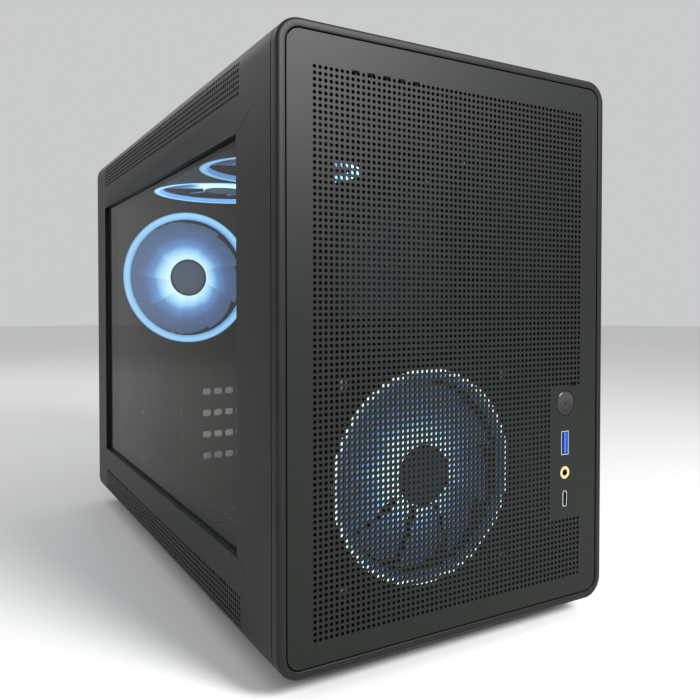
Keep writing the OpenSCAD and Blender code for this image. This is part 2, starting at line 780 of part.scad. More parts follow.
// Outline of the shell at one side, less a margin; it runs far past the lips
module side_outline(margin) translate([2 * lip_w, shell_h / 2])
    round_rect(4 * lip_w - 2 * margin, shell_h - 2 * margin, edge_r - margin);

module side_panel() difference() {
    translate([-half_w, front_y + shell_d, z0]) rotate([90, 0, 0])
        linear_extrude(shell_d - panel_y) side_section();
    for (z = [vent_edge, shell_h - vent_edge - (vent_rows - 1) * vent_pitch]) side_vent(z);
}

module side_vent(z)
    for (i = [0:floor((shell_d - window_rear - vent_y) / vent_pitch)], j = [0:vent_rows - 1])
        at(-half_w, vent_y + i * vent_pitch, z + j * vent_pitch) facing_left() air_hole(vent_d);

// A block over the window opening, grown by a margin, between two depths from the outer face
module window_block(grow, outer, inner) translate([-half_w, 0, 0]) at() block(
    [outer, window_front - grow, window_margin - grow],
    [inner, shell_d - window_rear + grow, shell_h - window_margin + grow]);

module left_panel() color(steel) difference() {
    union() {
        side_panel();
        window_block(skin_t, 0, window_fold);
    }
    window_block(0, -cut, window_fold + cut);
}

// Foam strip that bonds the glass to the back of the steel, outside the folded edge
module window_gasket() color(rubber) difference() {
    window_block(glass_lap, skin_t, window_fold);
    window_block(skin_t + fit, 0, window_fold + cut);
}

module window_glass() color([0.25, 0.25, 0.23, 0.4])
    window_block(glass_lap, window_fold, window_fold + glass_t);

module side_stud_places(y) for (s = [-1, 1], z = side_stud_z)
    at(s * wall_x, y, z) rotate([0, s * 90, 0]) children();

module side_studs() for (y = [side_stud_front, side_stud_rear], z = side_stud_z)
    at(-half_w + skin_t, y, z) rotate([0, 90, 0]) stud(side_stud_len, ball_r);

module left_studs() color(zinc) side_studs();
module right_panel() color(steel) mirror([1, 0, 0]) side_panel();
module right_studs() color(zinc) mirror([1, 0, 0]) side_studs();

// ROOF PANEL

module roof_panel() color(steel) difference() {
    w = half_w - lip_w - seam;
    at() {
        block([-w, panel_y, shell_h - skin_t], [w, shell_d, shell_h]);
        for (s = [-1, 1]) translate([s * (w - skin_t / 2), 0, 0])
            block([-skin_t / 2, panel_y, roof_top + fit], [skin_t / 2, shell_d, shell_h]);
    }
    at(0, roof_fan_y - fan_w / 2, shell_h) air_field(126, 2 * fan_w);
}

module roof_stud_places() for (x = [-1, 1], y = roof_stud_y) at(x * roof_stud_x, y, roof_top) children();

module roof_studs() color(zinc) roof_stud_places() translate([0, 0, roof_gap]) mirror([0, 0, 1])
    stud(roof_stud_len, ball_r);

// Sockets for the ball studs, in the side walls of the chassis and in the roof frame
module panel_clips() color(plastic) {
    for (y = [side_stud_front, side_stud_rear]) side_stud_places(y) clip();
    roof_stud_places() clip();
}

// FRONT PLATE

module plate_stud_places() for (x = [-1, 1], z = plate_stud_z)
    translate([x * plate_stud_x, z - shell_h / 2]) children();

module front_plate() color(steel) difference() {
    at(0, plate_set, shell_h / 2) upright() linear_extrude(plate_t)
        round_rect(shell_w - 2 * ring_in, shell_h - 2 * ring_in, edge_r - ring_in);
    at(0, plate_set, field_z) upright() air_field(field_w, field_h, port_x - housing_w / 2,
        housing_z[0] - field_z, housing_z[1] - field_z);
    port_holes(plate_set, port_gap);
}

module front_studs() color(zinc) at(0, plate_back, shell_h / 2) upright() plate_stud_places()
    stud(ring_d - ledge_t / 2 - plate_back + plate_ball_r, plate_ball_r);

floor_pan();
roof_frame();
front_wall();
rear_wall();
motherboard_tray();
front_ring();
standoffs();
slot_covers();
slot_screws();
psu_bracket();
psu_bracket_screws();
power_inlet();
inlet_screws();
io_housing();
io_board();
button_switch();
usb_a_shell();
usb_a_tongue();
audio_jack();
usb_c_shell();
usb_c_tongue();
front_fan_frame();
rear_fan_frame();
roof_fan_frame_front();
roof_fan_frame_rear();
front_fan_light();
rear_fan_light();
roof_fan_light_front();
roof_fan_light_rear();
fan_stators();
fan_screws();
feet();
foot_pads();
foot_screws();
panel_clips();
left_panel();
window_glass();
window_gasket();
left_studs();
right_panel();
right_studs();
roof_panel();
roof_studs();
front_plate();
front_studs();
power_button();
front_fan_rotor();
rear_fan_rotor();
roof_fan_rotor_front();
roof_fan_rotor_rear();
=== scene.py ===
# Finish of a micro ATX computer case: powder-coated steel with fine perforation, a tinted window
# and lit fans, dressed over its solid model. Metres, +Z up, front towards -Y, window towards -X.
import json
import math

import bpy
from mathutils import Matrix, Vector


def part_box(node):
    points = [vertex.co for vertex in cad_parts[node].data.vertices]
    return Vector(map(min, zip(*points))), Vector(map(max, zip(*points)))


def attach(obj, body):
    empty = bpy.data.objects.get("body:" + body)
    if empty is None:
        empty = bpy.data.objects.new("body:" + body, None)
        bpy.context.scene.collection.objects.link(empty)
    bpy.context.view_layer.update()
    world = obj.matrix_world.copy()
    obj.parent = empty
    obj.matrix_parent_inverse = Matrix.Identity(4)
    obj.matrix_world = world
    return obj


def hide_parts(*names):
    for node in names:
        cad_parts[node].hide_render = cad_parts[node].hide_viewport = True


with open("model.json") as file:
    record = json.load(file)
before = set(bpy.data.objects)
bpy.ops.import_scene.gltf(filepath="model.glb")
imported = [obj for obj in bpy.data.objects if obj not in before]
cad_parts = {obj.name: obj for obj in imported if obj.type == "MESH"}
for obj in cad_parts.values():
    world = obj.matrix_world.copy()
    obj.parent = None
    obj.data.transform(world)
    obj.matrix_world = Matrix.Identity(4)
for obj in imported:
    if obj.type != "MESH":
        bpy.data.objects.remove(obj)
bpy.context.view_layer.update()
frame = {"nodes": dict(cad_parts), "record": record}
nodes = frame["nodes"]

MM = 0.001
WELD = 0.00002

# The shell, from the frame
ring_low, ring_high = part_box("front_ring")
panel_low, panel_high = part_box("left_panel")
HALF_W = ring_high[0]
FRONT = ring_low[1]
RING_BACK = ring_high[1]
BOTTOM = ring_low[2]
TOP = ring_high[2]
PANEL_FRONT = panel_low[1]
REAR = panel_high[1]
SKIN = 1 * MM
EDGE_R = 11.5 * MM

# Fine perforation
PITCH = 2.8 * MM
HOLE_R = 0.99 * MM
PLATE_COLUMNS = 60
PLATE_ROWS = 92
PLATE_FIRST_HOLE = 16.2 * MM
BLANK_COLUMNS = 8
BLANK_FIRST_ROW = 12
BLANK_ROWS = 26
VENT_COLUMNS = 112
VENT_ROWS = 6
VENT_FIRST_HOLE = 9.5 * MM
VENT_FRONT = 44.8 * MM
ROOF_COLUMNS = 45
ROOF_ROWS = 86


# Modelling helpers

def deselect():
    bpy.ops.object.select_all(action="DESELECT")


def edit():
    bpy.ops.object.mode_set(mode="EDIT")


def leave():
    bpy.ops.object.mode_set(mode="OBJECT")


def pick(obj, test, kind="VERT"):
    """Selects the vertices of obj whose place passes the test, or the edges with both ends there."""
    leave()
    for face in obj.data.polygons:
        face.select = False
    for edge in obj.data.edges:
        edge.select = False
    for vertex in obj.data.vertices:
        vertex.select = test(vertex.co)
    if kind == "EDGE":
        for edge in obj.data.edges:
            edge.select = all(obj.data.vertices[i].select for i in edge.vertices)
    edit()
    bpy.ops.mesh.select_mode(type=kind)


def near(a, b):
    return abs(a - b) < WELD


def hold(first, *others):
    """Selects these objects alone, with the first one active."""
    deselect()
    for obj in (first, *others):
        obj.select_set(True)
    bpy.context.view_layer.objects.active = first


def join(first, *others):
    hold(first, *others)
    if others:
        bpy.ops.object.join()
    return first


def modifier(obj, kind, **values):
    """Adds a modifier with these values and applies it."""
    hold(obj)
    bpy.ops.object.modifier_add(type=kind)
    made = obj.modifiers[-1]
    for key, value in values.items():
        setattr(made, key, value)
    bpy.ops.object.modifier_apply(modifier=made.name)


def repeat(obj, count, step):
    modifier(obj, "ARRAY", count=count, use_relative_offset=False, use_constant_offset=True,
             constant_offset_displace=step, use_merge_vertices=True, merge_threshold=WELD)


def weld(objects):
    """Joins objects into the first one and welds what touches."""
    whole = join(*objects)
    edit()
    bpy.ops.mesh.select_all(action="SELECT")
    bpy.ops.mesh.remove_doubles(threshold=WELD)
    leave()
    return whole


def place(obj, location=(0, 0, 0), rotation=(0, 0, 0), scale=(1, 1, 1)):
    """Moves obj and puts its place into its mesh."""
    hold(obj)
    obj.location = location
    obj.rotation_euler = rotation
    obj.scale = scale
    bpy.ops.object.transform_apply()
    return obj


def select_faces(obj):
    """Opens obj in edit mode with all its faces selected."""
    hold(obj)
    edit()
    bpy.ops.mesh.select_mode(type="FACE")
    bpy.ops.mesh.select_all(action="SELECT")


def disc(radius, vertices, height=0):
    """A round face at this height, ready to be drawn up into a turned piece."""
    deselect()
    bpy.ops.mesh.primitive_circle_add(vertices=vertices, radius=radius, fill_type="NGON")
    made = place(bpy.context.object, (0, 0, height))
    select_faces(made)
    return made


def rise(height):
    """Draws the selected face up by this much."""
    bpy.ops.mesh.extrude_region_move(TRANSFORM_OT_translate={"value": (0, 0, height)})


def widen(ratio):
    """Grows a step outwards from the selected round face."""
    bpy.ops.mesh.extrude_region_move()
    bpy.ops.transform.resize(value=(ratio, ratio, 1), center_override=(0, 0, 0))


def step_in(*steps):
    """Shapes the selected face by steps: how far each goes in, and how far up."""
    for inward, up in steps:
        bpy.ops.mesh.inset(thickness=inward, depth=up)


def pull_edges(x, y, z):
    """Draws a sheet out of the selected edges."""
    bpy.ops.mesh.extrude_edges_move(TRANSFORM_OT_translate={"value": (x, y, z)})


def open_edges():
    """Selects the edges that have a face on one side alone."""
    bpy.ops.mesh.select_mode(type="EDGE")
    bpy.ops.mesh.select_all(action="DESELECT")
    bpy.ops.mesh.select_non_manifold(extend=False, use_wire=False, use_boundary=True,
                                     use_multi_face=False, use_non_contiguous=False, use_verts=False)


def close_back():
    """Fills the outline that is left where a drawn face was pulled away, and leaves edit mode."""
    open_edges()
    bpy.ops.mesh.edge_face_add()
    leave()


def face_out(obj):
    hold(obj)
    edit()
    bpy.ops.mesh.select_all(action="SELECT")
    bpy.ops.mesh.normals_make_consistent(inside=False)
    leave()


def outline(width, height, radius, x=0, y=0, segments=8, filled=False):
    """A rectangle with round corners on the ground plane: its face, or its edges alone."""
    deselect()
    bpy.ops.mesh.primitive_plane_add(size=1)
    obj = place(bpy.context.object, (x, y, 0), scale=(width, height, 1))
    edit()
    bpy.ops.mesh.select_all(action="SELECT")
    if radius:
        bpy.ops.mesh.bevel(affect="VERTICES", offset=radius, segments=segments)
    if not filled:
        bpy.ops.mesh.select_all(action="SELECT")
        bpy.ops.mesh.delete(type="ONLY_FACE")
    leave()
    return obj


def circle(radius, x, y, vertices=40):
    deselect()
    bpy.ops.mesh.primitive_circle_add(vertices=vertices, radius=radius, fill_type="NOTHING")
    return place(bpy.context.object, (x, y, 0))


def perforation(columns, rows, x, y):
    """A field of square cells with six-sided holes; the first hole is at x, y."""
    deselect()
    bpy.ops.mesh.primitive_plane_add(size=PITCH)
    field = bpy.context.object
    edit()
    bpy.ops.mesh.delete(type="ONLY_FACE")
    bpy.ops.mesh.primitive_circle_add(vertices=6, radius=HOLE_R, fill_type="NOTHING")
    bpy.ops.mesh.select_all(action="SELECT")
    bpy.ops.mesh.bridge_edge_loops()
    leave()
    place(field, (x, y, 0))
    repeat(field, columns, (PITCH, 0, 0))
    repeat(field, rows, (0, PITCH, 0))
    return field


def fill_sheet(obj, low_y=-1, high_y=1):
    """Fills the sheet between its outlines and its fields of holes, from one height to another."""
    edit()
    open_edges()
    leave()
    points = obj.data.vertices
    for edge in obj.data.edges:
        a, b = [points[i].co for i in edge.vertices]
        outside = min(a.y, b.y) < low_y - WELD or max(a.y, b.y) > high_y + WELD
        if outside or (a - b).length < 1.01 * HOLE_R:
            edge.select = False
    edit()
    bpy.ops.mesh.select_non_manifold(extend=True, use_wire=True, use_boundary=False,
                                     use_multi_face=False, use_non_contiguous=False, use_verts=False)
    bpy.ops.mesh.fill(use_beauty=False)
    leave()
    face_out(obj)


def paint(obj, material):
    obj.data.materials.clear()
    obj.data.materials.append(material)


def dress(obj, name, body, slot, material, *replaced):
    """Names a finished piece, gives it its finish and its body, and hides the solids that it stands for."""
    obj.name = name
    obj.data.name = name
    paint(obj, material)
    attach(obj, body)
    if replaced:
        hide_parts(*replaced)


def soften(obj, angle=35):
    hold(obj)
    bpy.ops.object.shade_smooth_by_angle(angle=math.radians(angle))


# Materials

def new_material(name):
    """A material and its shader, with object coordinates ready."""
    material = bpy.data.materials.new(name)
    material.use_nodes = True
    tree = material.node_tree
    shader = tree.nodes["Principled BSDF"]
    where = tree.nodes.new("ShaderNodeTexCoord")
    return material, tree, shader, where.outputs["Object"]


def rough_noise(tree, shader, where, scale, detail, bump):
    """A noise whose bumps stand up to a tenth of a millimetre, times the bump's strength."""
    noise = tree.nodes.new("ShaderNodeTexNoise")
    noise.inputs["Scale"].default_value = scale
    noise.inputs["Detail"].default_value = detail
    tree.links.new(where, noise.inputs["Vector"])
    height = tree.nodes.new("ShaderNodeBump")
    height.inputs["Strength"].default_value = bump
    height.inputs["Distance"].default_value = 0.1 * MM
    tree.links.new(noise.outputs["Fac"], height.inputs["Height"])
    tree.links.new(height.outputs["Normal"], shader.inputs["Normal"])
    return noise


def grained(name, color, roughness, metallic=0, grain=0.15, size=0.5 * MM, bump=0.3, gloss=0.5):
    """A surface with a fine grain: its colour varies by a share, and its bumps are size apart."""
    material, tree, shader, where = new_material(name)
    noise = rough_noise(tree, shader, where, 1 / size, 3, bump)
    ramp = tree.nodes.new("ShaderNodeValToRGB")
    ramp.color_ramp.elements[0].position = 0.3
    ramp.color_ramp.elements[1].position = 0.7
    ramp.color_ramp.elements[0].color = (*[c * (1 - grain) for c in color], 1)
    ramp.color_ramp.elements[1].color = (*[c * (1 + grain) for c in color], 1)
    tree.links.new(noise.outputs["Fac"], ramp.inputs["Fac"])
    tree.links.new(ramp.outputs["Color"], shader.inputs["Base Color"])
    shader.inputs["Roughness"].default_value = roughness
    shader.inputs["Metallic"].default_value = metallic
    shader.inputs["Specular IOR Level"].default_value = gloss
    return material


def radial_light(name, center, axis, stops, reach, base, strength, alpha=1):
    """A lit plastic whose glow follows the distance from a fan's axis. stops: share of reach, colour."""
    material, tree, shader, where = new_material(name)
    keep = [0 if i == axis else 1 for i in range(3)]
    to_axis = tree.nodes.new("ShaderNodeMapping")
    to_axis.inputs["Scale"].default_value = keep
    to_axis.inputs["Location"].default_value = [-c * k for c, k in zip(center, keep)]
    tree.links.new(where, to_axis.inputs["Vector"])
    distance = tree.nodes.new("ShaderNodeVectorMath")
    distance.operation = "LENGTH"
    tree.links.new(to_axis.outputs["Vector"], distance.inputs[0])
    share = tree.nodes.new("ShaderNodeMath")
    share.operation = "DIVIDE"
    share.inputs[1].default_value = reach
    tree.links.new(distance.outputs["Value"], share.inputs[0])
    ramp = tree.nodes.new("ShaderNodeValToRGB")
    while len(ramp.color_ramp.elements) < len(stops):
        ramp.color_ramp.elements.new(0.5)
    for element, (position, color) in zip(ramp.color_ramp.elements, stops):
        element.position = position
        element.color = (*color, 1)
    tree.links.new(share.outputs["Value"], ramp.inputs["Fac"])
    tree.links.new(ramp.outputs["Color"], shader.inputs["Emission Color"])
    shader.inputs["Emission Strength"].default_value = strength
    shader.inputs["Base Color"].default_value = (*base, 1)
    shader.inputs["Roughness"].default_value = 0.35
    shader.inputs["Alpha"].default_value = alpha
    return material


def tinted_glass():
    """Dark glass; each of its two faces lets through what its alpha leaves."""
    material, tree, shader, where = new_material("tinted_glass")
    shader.inputs["Base Color"].default_value = (0.022, 0.021, 0.016, 1)
    shader.inputs["Roughness"].default_value = 0.06
    shader.inputs["Alpha"].default_value = 0.61
    shader.inputs["IOR"].default_value = 1.22
    rough_noise(tree, shader, where, 6, 2, 0.02)
    return material


FINISHES = {
    "powder_steel": grained("powder_coat", (0.0076, 0.0092, 0.0076), 0.46, grain=0.25,
                            size=0.45 * MM, bump=0.5, gloss=0.19),
    # The coat of the parts inside the case, darker than the outer coat: partly their own black finish, partly
    # painted shade for the dim inside of the closed case
    "inner_steel": grained("inner_coat_and_painted_shade", (0.006, 0.0062, 0.006), 0.55, bump=0.3, gloss=0.15),
    "zinc": grained("zinc_plate", (0.6, 0.61, 0.62), 0.35, metallic=1, grain=0.06, size=0.8 * MM, bump=0.05),
    "brass": grained("gilt_brass", (0.72, 0.56, 0.3), 0.25, metallic=1, grain=0.04, size=0.8 * MM, bump=0.03),
    "black_plastic": grained("black_plastic", (0.01, 0.01, 0.011), 0.5, grain=0.1, size=0.4 * MM,
                             bump=0.15, gloss=0.35),
    "circuit_board": grained("solder_mask", (0.02, 0.07, 0.04), 0.35, grain=0.1, size=2 * MM, bump=0.05),
    "blue_plastic": grained("socket_blue", (0.015, 0.09, 0.5), 0.3, grain=0.05, size=1 * MM, bump=0.03),
    "copper": grained("winding_copper", (0.6, 0.28, 0.13), 0.4, metallic=1, grain=0.3,
                      size=0.3 * MM, bump=0.6),
    "button_steel": grained("button_coat", (0.01, 0.011, 0.0105), 0.28, grain=0.1, size=0.45 * MM,
                            bump=0.15, gloss=0.5),
    "rubber": grained("foot_rubber", (0.02, 0.02, 0.02), 0.8, grain=0.15, size=0.6 * MM, bump=0.3),
    "window_glass": tinted_glass(),
}


# Camera, lights and floor

def camera():
    """The photo's view, fitted to the shell's edges, the window's corners and the rows of holes."""
    bpy.ops.object.camera_add(location=(-0.2276, -0.4771, 0.1762),
                              rotation=(math.radians(90 - 1.16), 0, math.radians(-29.95)))
    view = bpy.context.object
    view.data.sensor_width = 36
    view.data.lens = 36.906
    view.data.shift_x = 0.0006
    view.data.shift_y = -0.0440
    view.data.clip_start = 0.01
    bpy.context.scene.camera = view


def area_light(name, location, target, size, power):
    """A white disk light at location that faces target."""
    bpy.ops.object.light_add(type="AREA", location=location)
    lamp = bpy.context.object
    lamp.name = name
    lamp.data.shape = "DISK"
    lamp.data.size = size
    lamp.data.energy = power
    aim = [t - p for t, p in zip(target, location)]
    lamp.rotation_euler = (math.atan2(math.hypot(aim[0], aim[1]), -aim[2]), 0,
                           math.atan2(aim[1], aim[0]) - math.pi / 2)


def studio():
    area_light("key", (0.26, -1.05, 0.74), (-0.06, -0.19, 0.26), 0.4, 20)
    area_light("side", (-1.3, -0.2, 0.9), (-0.1, 0, 0.1), 0.9, 2)
    area_light("back", (-0.5, 1.3, 1.2), (0, 0.1, 0.2), 1.0, 4)
    world = bpy.data.worlds.new("studio")
    bpy.context.scene.world = world
    world.use_nodes = True
    back = world.node_tree.nodes["Background"]
    back.inputs["Color"].default_value = (0.86, 0.87, 0.88, 1)
    back.inputs["Strength"].default_value = 0.68
    deselect()
    bpy.ops.mesh.primitive_circle_add(vertices=64, radius=6, fill_type="NGON")
    floor = bpy.context.object
    floor.name = "floor"
    paper, _, shader, _ = new_material("studio_floor")
    shader.inputs["Base Color"].default_value = (0.82, 0.82, 0.81, 1)
    shader.inputs["Roughness"].default_value = 0.8
    floor.data.materials.append(paper)
    bpy.context.scene.view_settings.view_transform = "Standard"


# Front plate

# The control column, and its openings: radius, or width, height and corner radius
PORT_X = 72.6 * MM
BUTTON_HOLE_R = 6.85 * MM
BUTTON_Z = 112 * MM
USB_A_HOLE = (6.3 * MM, 13.7 * MM, 0.5 * MM)
USB_A_Z = 89.9 * MM
AUDIO_HOLE_R = 3.75 * MM
AUDIO_Z = 73.5 * MM
USB_C_HOLE = (3.9 * MM, 9.6 * MM, 1.94 * MM)
USB_C_Z = 59 * MM


def front_plate():
    low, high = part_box("front_plate")
    width = high[0] - low[0]
    height = high[2] - low[2]
    left = -(PLATE_COLUMNS - 1) / 2 * PITCH
    first = BOTTOM + PLATE_FIRST_HOLE
    after = BLANK_FIRST_ROW + BLANK_ROWS
    pieces = [
        perforation(PLATE_COLUMNS, BLANK_FIRST_ROW, left, first),
        perforation(PLATE_COLUMNS - BLANK_COLUMNS, BLANK_ROWS, left, first + BLANK_FIRST_ROW * PITCH),
        perforation(PLATE_COLUMNS, PLATE_ROWS - after, left, first + after * PITCH),
        outline(width, height, EDGE_R - (HALF_W - high[0]), 0, (low[2] + high[2]) / 2, segments=12),
        circle(BUTTON_HOLE_R, PORT_X, BOTTOM + BUTTON_Z, 56),
        outline(*USB_A_HOLE, PORT_X, BOTTOM + USB_A_Z, segments=3),
        circle(AUDIO_HOLE_R, PORT_X, BOTTOM + AUDIO_Z),
        outline(*USB_C_HOLE, PORT_X, BOTTOM + USB_C_Z),
    ]
    plate = weld(pieces)
    fill_sheet(plate)
    modifier(plate, "SOLIDIFY", thickness=high[1] - low[1], offset=0)
    place(plate, (0, (low[1] + high[1]) / 2, 0), (math.pi / 2, 0, 0))
    soften(plate)
    dress(plate, "perforated_plate", "front", "powder_steel", FINISHES["powder_steel"], "front_plate")


# Front ring

RING_ROUND = 1.6 * MM
BAND_W = 4.2 * MM
LEDGE_W = 9 * MM
LEDGE_T = 1.4 * MM
LEDGE_R = 3 * MM
ROUND_STEPS = 6
# The fine groove where the band meets the plate's recess
SEAM = 0.2 * MM
# Recesses for the plate's ball studs
STUD_HOLE_R = 2.5 * MM
STUD_INSET = 8.9 * MM
STUD_Z = 24 * MM


def front_ring():
    width, height, depth = 2 * HALF_W, TOP - BOTTOM, RING_BACK - FRONT
    ring = outline(width, height, EDGE_R, segments=14, filled=True)
    select_faces(ring)
    rise(depth - RING_ROUND)
    quarter = [math.radians(90 * k / ROUND_STEPS) for k in range(ROUND_STEPS + 1)]
    for a, b in zip(quarter, quarter[1:]):
        step_in((RING_ROUND * (math.cos(a) - math.cos(b)), RING_ROUND * (math.sin(b) - math.sin(a))))
    step_in((BAND_W - RING_ROUND - 2 * SEAM, 0), (SEAM, -SEAM / 4), (SEAM, -SEAM))
    rise(LEDGE_T - depth + 1.25 * SEAM)
    bpy.ops.mesh.delete(type="ONLY_FACE")
    bpy.ops.mesh.select_mode(type="VERT")
    bpy.ops.mesh.select_all(action="DESELECT")
    leave()
    border = 2 * (BAND_W + LEDGE_W)
    inner = outline(width - border, height - border, LEDGE_R, segments=14)
    join(ring, place(inner, (0, 0, LEDGE_T)))
    pick(ring, lambda p: near(p.z, LEDGE_T), "EDGE")
    bpy.ops.mesh.bridge_edge_loops()
    inside = HALF_W - BAND_W - LEDGE_W + WELD
    pick(ring, lambda p: near(p.z, LEDGE_T) and abs(p.x) < inside, "EDGE")
    pull_edges(0, 0, -LEDGE_T)
    pick(ring, lambda p: near(p.z, 0), "EDGE")
    bpy.ops.mesh.bridge_edge_loops()
    leave()
    face_out(ring)
    for x in (-1, 1):
        for z in (STUD_Z - height / 2, 0, height / 2 - STUD_Z):
            deselect()
            bpy.ops.mesh.primitive_cylinder_add(vertices=32, radius=STUD_HOLE_R, depth=4 * LEDGE_T)
            drill = place(bpy.context.object, (x * (HALF_W - STUD_INSET), z, 0))
            modifier(ring, "BOOLEAN", operation="DIFFERENCE", object=drill, solver="EXACT")
            bpy.data.objects.remove(drill)
    place(ring, (0, RING_BACK, (BOTTOM + TOP) / 2), (math.pi / 2, 0, 0))
    soften(ring)
    dress(ring, "bezel_ring", "chassis", "powder_steel", FINISHES["powder_steel"], "front_ring")


# Side panels, drawn flat and then folded

LIP_END = 1.5 * MM
MID_R = EDGE_R - SKIN / 2
FOLD = 2.6 * MM
WINDOW_FRONT = 47.5 * MM
WINDOW_REAR = 31 * MM
WINDOW_MARGIN = 41.7 * MM
ARC_STEPS = 8


def vent_strip():
    """The perforated lower strip of a side panel, unrolled, with the sheet that becomes its round edge."""
    first_x = FRONT + VENT_FRONT
    first_z = BOTTOM + VENT_FIRST_HOLE
    strip = perforation(VENT_COLUMNS, VENT_ROWS, first_x, first_z)
    low_z = first_z - PITCH / 2
    arc_end = BOTTOM + EDGE_R - MID_R * math.pi / 2
    pick(strip, lambda p: near(p.y, low_z), "EDGE")
    step = (low_z - arc_end) / ARC_STEPS
    for drop in [step] * ARC_STEPS + [LIP_END]:
        pull_edges(0, -drop, 0)
    start = first_x - PITCH / 2
    end = start + VENT_COLUMNS * PITCH
    for edge_x, goal in ((start, PANEL_FRONT), (end, REAR)):
        pick(strip, lambda p: near(p.x, edge_x), "EDGE")
        pull_edges(goal - edge_x, 0, 0)
    leave()
    return strip


def fold_side(obj, side):
    """Folds the flat sheet round the long edges and stands it at that side."""
    low = BOTTOM + EDGE_R
    high = TOP - EDGE_R
    for vertex in obj.data.vertices:
        depth, height, inward = vertex.co
        past = low - height if height < low else max(0, height - high)
        angle = min(past / MID_R, math.pi / 2)
        drop = MID_R * math.sin(angle)
        inward += MID_R * (1 - math.cos(angle)) + past - MID_R * angle
        z = low - drop if height < low else min(height, high) + drop
        vertex.co = (side * (HALF_W - SKIN / 2 - inward), depth, z)


def side_panel(name, body, side, node, window):
    lower = vent_strip()
    hold(lower)
    bpy.ops.object.duplicate()
    upper = place(bpy.context.object, (0, BOTTOM + TOP, 0), scale=(1, -1, 1))
    pieces = [lower, upper]
    length = REAR - WINDOW_REAR - FRONT - WINDOW_FRONT
    tall = TOP - BOTTOM - 2 * WINDOW_MARGIN
    middle = FRONT + WINDOW_FRONT + length / 2
    if window:
        pieces.append(outline(length, tall, 0.4 * MM, middle, (BOTTOM + TOP) / 2, segments=2))
    panel = weld(pieces)
    inner_z = BOTTOM + VENT_FIRST_HOLE + (VENT_ROWS - 0.5) * PITCH
    for x in (PANEL_FRONT, REAR):
        pick(panel, lambda p: near(p.x, x) and (near(p.y, inner_z) or near(p.y, BOTTOM + TOP - inner_z)))
        bpy.ops.mesh.edge_face_add()
    leave()
    fill_sheet(panel, inner_z, BOTTOM + TOP - inner_z)
    if window:
        pick(panel, lambda p: abs(p.x - middle) < length / 2 + WELD
             and abs(p.y - (BOTTOM + TOP) / 2) < tall / 2 + WELD, "EDGE")
        pull_edges(0, 0, FOLD - SKIN / 2)
        leave()
    fold_side(panel, side)
    face_out(panel)
    modifier(panel, "SOLIDIFY", thickness=SKIN, offset=0, use_even_offset=True)
    soften(panel)
    dress(panel, name, body, "powder_steel", FINISHES["powder_steel"], node)


# Roof panel

def roof_panel():
    low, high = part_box("roof_panel")
    fans_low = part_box("roof_fan_light_front")[0][1]
    fans_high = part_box("roof_fan_light_rear")[1][1]
    middle = (fans_low + fans_high) / 2
    width = high[0] - low[0] - SKIN
    field = perforation(ROOF_COLUMNS, ROOF_ROWS, -(ROOF_COLUMNS - 1) / 2 * PITCH,
                        middle - (ROOF_ROWS - 1) / 2 * PITCH)
    edge = outline(width, high[1] - low[1], 0, 0, (low[1] + high[1]) / 2)
    panel = weld([field, edge])
    fill_sheet(panel)
    for side in (-1, 1):
        pick(panel, lambda p: near(p.x, side * width / 2), "EDGE")
        pull_edges(0, 0, low[2] - high[2] + SKIN / 2)
    leave()
    face_out(panel)
    modifier(panel, "SOLIDIFY", thickness=SKIN, offset=0, use_even_offset=True)
    place(panel, (0, 0, high[2] - SKIN / 2))
    soften(panel)
    dress(panel, "perforated_roof", "roof", "powder_steel", FINISHES["powder_steel"], "roof_panel")


# Fans

# Colours from the axis outwards, as shares of the light ring's radius
GLOW = [(0.0, (0.6, 0.92, 1.0)), (0.34, (0.6, 0.92, 1.0)), (0.42, (0.34, 0.7, 1.0)),
        (0.51, (0.12, 0.28, 0.58)), (0.66, (0.065, 0.125, 0.26)), (0.87, (0.05, 0.09, 0.17))]
RING_GLOW = [(0.895, (0.1, 0.32, 0.75)), (0.925, (0.28, 0.6, 0.9)), (0.97, (0.36, 0.72, 1.0)),
             (0.998, (0.16, 0.42, 0.8))]
THIN_RING_GLOW = [(0.9, (0.02, 0.05, 0.13)), (0.95, (0.04, 0.12, 0.3)), (0.965, (0.7, 0.92, 1.0)),
                  (1.0, (0.75, 0.95, 1.0))]
CAP_GLOW = [(0.0, (0.2, 0.3, 0.45)), (0.85, (0.17, 0.27, 0.42)), (0.93, (0.03, 0.04, 0.07)),
            (1.0, (0.01, 0.02, 0.03))]
# The plastics' own colours
RING_BASE = (0.3, 0.4, 0.48)
BLADE_BASE = (0.1, 0.13, 0.22)
CAP_BASE = (0.02, 0.025, 0.035)
BLADE_ALPHA = 0.9
# The front fan shines through open holes, the others through dark glass
LEVEL = {"front": 1.4, "rear": 5.5, "roof_front": 4.5, "roof_rear": 7}
CAP_LEVEL = {"front": 0.12, "rear": 1.5, "roof_front": 1.5, "roof_rear": 1.5}
FAN_SCREW = 105 * MM
# How a fan's drawing is turned, from facing up to facing where its light does
FACING = {"front": (math.pi / 2, 0, 0), "rear": (math.pi / 2, 0, 0), "roof_front": (math.pi, 0, 0),
          "roof_rear": (math.pi, 0, 0)}
FANS = {"front": ("front_fan_light", "front_fan_rotor", "front_rotor"),
        "rear": ("rear_fan_light", "rear_fan_rotor", "rear_rotor"),
        "roof_front": ("roof_fan_light_front", "roof_fan_rotor_front", "roof_rotor_front"),
        "roof_rear": ("roof_fan_light_rear", "roof_fan_rotor_rear", "roof_rotor_rear")}


def fan_place(key):
    """The middle of a fan's light ring, its outer radius, and the axis that the fan turns on."""
    low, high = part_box(FANS[key][0])
    sizes = [b - a for a, b in zip(low, high)]
    return [(a + b) / 2 for a, b in zip(low, high)], max(sizes) / 2, sizes.index(min(sizes))


def fan_seat(key, depth=0):
    """The point on a fan's axis at this depth behind its light ring's front."""
    seat, _, axis = fan_place(key)
    seat[axis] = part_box(FANS[key][0])[0][axis] + depth
    return seat


